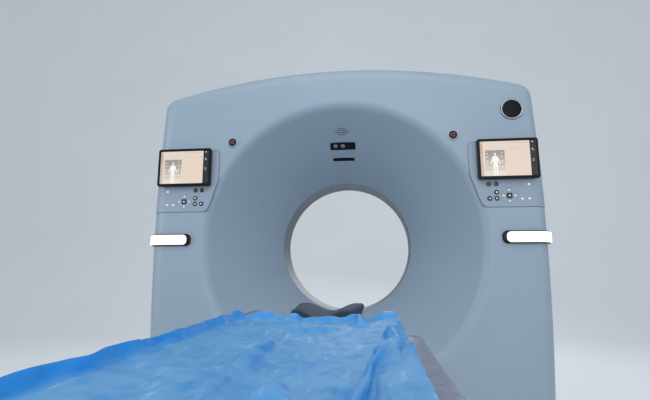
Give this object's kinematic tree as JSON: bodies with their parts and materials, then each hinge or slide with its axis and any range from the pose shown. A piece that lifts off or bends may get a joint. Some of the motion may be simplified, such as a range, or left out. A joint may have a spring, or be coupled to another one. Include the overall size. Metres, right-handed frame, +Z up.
{
  "type": "ct scanner",
  "caption": "Medical CT scanner: gantry with flared patient bore and rotating measuring unit, and a patient table with lift and sliding cradle.",
  "frame": {"origin": "on the floor under the middle of the bore, the centre of the gantry's anchor holes", "axes": "+X to the right seen from the table, +Y along the bore away from the table, +Z up"},
  "size_m": [1.8916, 4.2232, 1.893],
  "materials": {
    "cover_white": "satin",
    "panel_pale": "satin",
    "shroud_pale": "satin",
    "seal_dark": "matte",
    "window_grey": "satin",
    "black_plastic": "gloss",
    "screen_glass": "lit display",
    "lamp_lens": "lit lens",
    "plaque": "polished",
    "estop_red": "satin",
    "bezel_pale": "satin",
    "key_green": "matte",
    "key_dark": "matte",
    "frame_paint": "satin",
    "machined_steel": "machined",
    "ball_steel": "polished",
    "rotor_alloy": "machined",
    "tube_alloy": "cast",
    "lead_grey": "matte",
    "detector_green": "anodised",
    "generator_beige": "satin",
    "cooler_alloy": "satin",
    "slip_brass": "polished",
    "motor_grey": "painted",
    "belt_rubber": "matte",
    "table_white": "satin",
    "cradle_grey": "satin",
    "pad_dark": "wipe-clean cover",
    "holder_grey": "satin",
    "drape_blue": "non-woven",
    "film_clear": "thin film"
  },
  "bodies": {
    "gantry": {"base_frame": "frame_paint", "stator_frame": "frame_paint", "bearing_race": "machined_steel", "bearing_balls": "ball_steel", "brush_block": "key_dark", "drive_motor": "motor_grey", "drive_belt": "belt_rubber", "front_cover": "cover_white", "rear_cover": "cover_white", "top_cover": "cover_white", "side_cover_left": "cover_white", "side_cover_right": "cover_white", "scan_window": "window_grey", "throat_gaskets": "seal_dark", "laser_ports": "black_plastic", "tablet_cases": "black_plastic", "tablet_screens": "screen_glass", "control_panels": "panel_pale", "light_bar_housings": "black_plastic", "light_bar_lenses": "lamp_lens", "badge": "plaque", "camera_window": "black_plastic", "display_slot": "black_plastic", "estop_bezels": "bezel_pale", "table_base": "frame_paint", "base_shroud": "shroud_pale", "lift_columns_fixed": "machined_steel"},
    "rotor": {"rotor_drum": "rotor_alloy", "xray_tube": "tube_alloy", "tube_collimator": "lead_grey", "detector_array": "detector_green", "generator": "generator_beige", "heat_exchanger": "cooler_alloy", "slip_ring": "slip_brass"},
    "pulley": {"motor_pulley": "machined_steel"},
    "lift_middle": {"middle_shroud": "shroud_pale", "lift_columns_middle": "machined_steel"},
    "table_top": {"upper_shroud": "table_white", "lift_columns_top": "machined_steel", "table_frame": "machined_steel", "table_shell": "table_white", "clear_cover": "film_clear"},
    "cradle_carriage": {"cradle": "cradle_grey", "cradle_pad": "pad_dark", "head_holder": "holder_grey", "drape": "drape_blue"},
    "estop_left_button": {"estop_left": "estop_red"},
    "estop_right_button": {"estop_right": "estop_red"},
    "green_key_left_1_button": {"green_key_left_1": "key_green"},
    "green_key_left_2_button": {"green_key_left_2": "key_green"},
    "ring_key_left_1_button": {"ring_key_left_1": "key_dark"},
    "ring_key_left_2_button": {"ring_key_left_2": "key_dark"},
    "ring_key_left_3_button": {"ring_key_left_3": "key_dark"},
    "nav_key_left_button": {"nav_key_left": "key_dark"},
    "green_key_right_1_button": {"green_key_right_1": "key_green"},
    "green_key_right_2_button": {"green_key_right_2": "key_green"},
    "ring_key_right_1_button": {"ring_key_right_1": "key_dark"},
    "ring_key_right_2_button": {"ring_key_right_2": "key_dark"},
    "ring_key_right_3_button": {"ring_key_right_3": "key_dark"},
    "nav_key_right_button": {"nav_key_right": "key_dark"}
  },
  "joints": [
    {"name": "rotor_spin", "type": "hinge", "parent": "gantry", "child": "rotor", "pos_m": [0, 0.15, 1.015], "axis": [0, 1, 0], "continuous": true},
    {"name": "pulley_spin", "type": "hinge", "parent": "gantry", "child": "pulley", "pos_m": [-0.64, 0.097, 0.415], "axis": [0, 1, 0], "continuous": true},
    {"name": "table_lift", "type": "slide", "parent": "gantry", "child": "table_top", "axis": [0, 0, 1], "range_m": [-0.225, 0.15]},
    {"name": "lift_middle_slide", "type": "slide", "parent": "gantry", "child": "lift_middle", "axis": [0, 0, 1], "range_m": [-0.1125, 0.075]},
    {"name": "cradle_slide", "type": "slide", "parent": "table_top", "child": "cradle_carriage", "axis": [0, 1, 0], "range_m": [0, 1.7]},
    {"name": "estop_left_press", "type": "slide", "parent": "gantry", "child": "estop_left_button", "axis": [0, 1, 0], "range_m": [0, 0.004], "stiffness_N_per_m": 1500},
    {"name": "estop_right_press", "type": "slide", "parent": "gantry", "child": "estop_right_button", "axis": [0, 1, 0], "range_m": [0, 0.004], "stiffness_N_per_m": 1500},
    {"name": "green_key_left_1_press", "type": "slide", "parent": "gantry", "child": "green_key_left_1_button", "axis": [0, 1, 0], "range_m": [0, 0.0015], "stiffness_N_per_m": 600},
    {"name": "green_key_left_2_press", "type": "slide", "parent": "gantry", "child": "green_key_left_2_button", "axis": [0, 1, 0], "range_m": [0, 0.0015], "stiffness_N_per_m": 600},
    {"name": "ring_key_left_1_press", "type": "slide", "parent": "gantry", "child": "ring_key_left_1_button", "axis": [0, 1, 0], "range_m": [0, 0.0015], "stiffness_N_per_m": 600},
    {"name": "ring_key_left_2_press", "type": "slide", "parent": "gantry", "child": "ring_key_left_2_button", "axis": [0, 1, 0], "range_m": [0, 0.0015], "stiffness_N_per_m": 600},
    {"name": "ring_key_left_3_press", "type": "slide", "parent": "gantry", "child": "ring_key_left_3_button", "axis": [0, 1, 0], "range_m": [0, 0.0015], "stiffness_N_per_m": 600},
    {"name": "nav_key_left_press", "type": "slide", "parent": "gantry", "child": "nav_key_left_button", "axis": [0, 1, 0], "range_m": [0, 0.0015], "stiffness_N_per_m": 600},
    {"name": "green_key_right_1_press", "type": "slide", "parent": "gantry", "child": "green_key_right_1_button", "axis": [0, 1, 0], "range_m": [0, 0.0015], "stiffness_N_per_m": 600},
    {"name": "green_key_right_2_press", "type": "slide", "parent": "gantry", "child": "green_key_right_2_button", "axis": [0, 1, 0], "range_m": [0, 0.0015], "stiffness_N_per_m": 600},
    {"name": "ring_key_right_1_press", "type": "slide", "parent": "gantry", "child": "ring_key_right_1_button", "axis": [0, 1, 0], "range_m": [0, 0.0015], "stiffness_N_per_m": 600},
    {"name": "ring_key_right_2_press", "type": "slide", "parent": "gantry", "child": "ring_key_right_2_button", "axis": [0, 1, 0], "range_m": [0, 0.0015], "stiffness_N_per_m": 600},
    {"name": "ring_key_right_3_press", "type": "slide", "parent": "gantry", "child": "ring_key_right_3_button", "axis": [0, 1, 0], "range_m": [0, 0.0015], "stiffness_N_per_m": 600},
    {"name": "nav_key_right_press", "type": "slide", "parent": "gantry", "child": "nav_key_right_button", "axis": [0, 1, 0], "range_m": [0, 0.0015], "stiffness_N_per_m": 600}
  ],
  "couplings": [
    {"joint": "pulley_spin", "follows": "rotor_spin", "ratio": 10.071},
    {"joint": "lift_middle_slide", "follows": "table_lift", "ratio": 0.5}
  ]
}
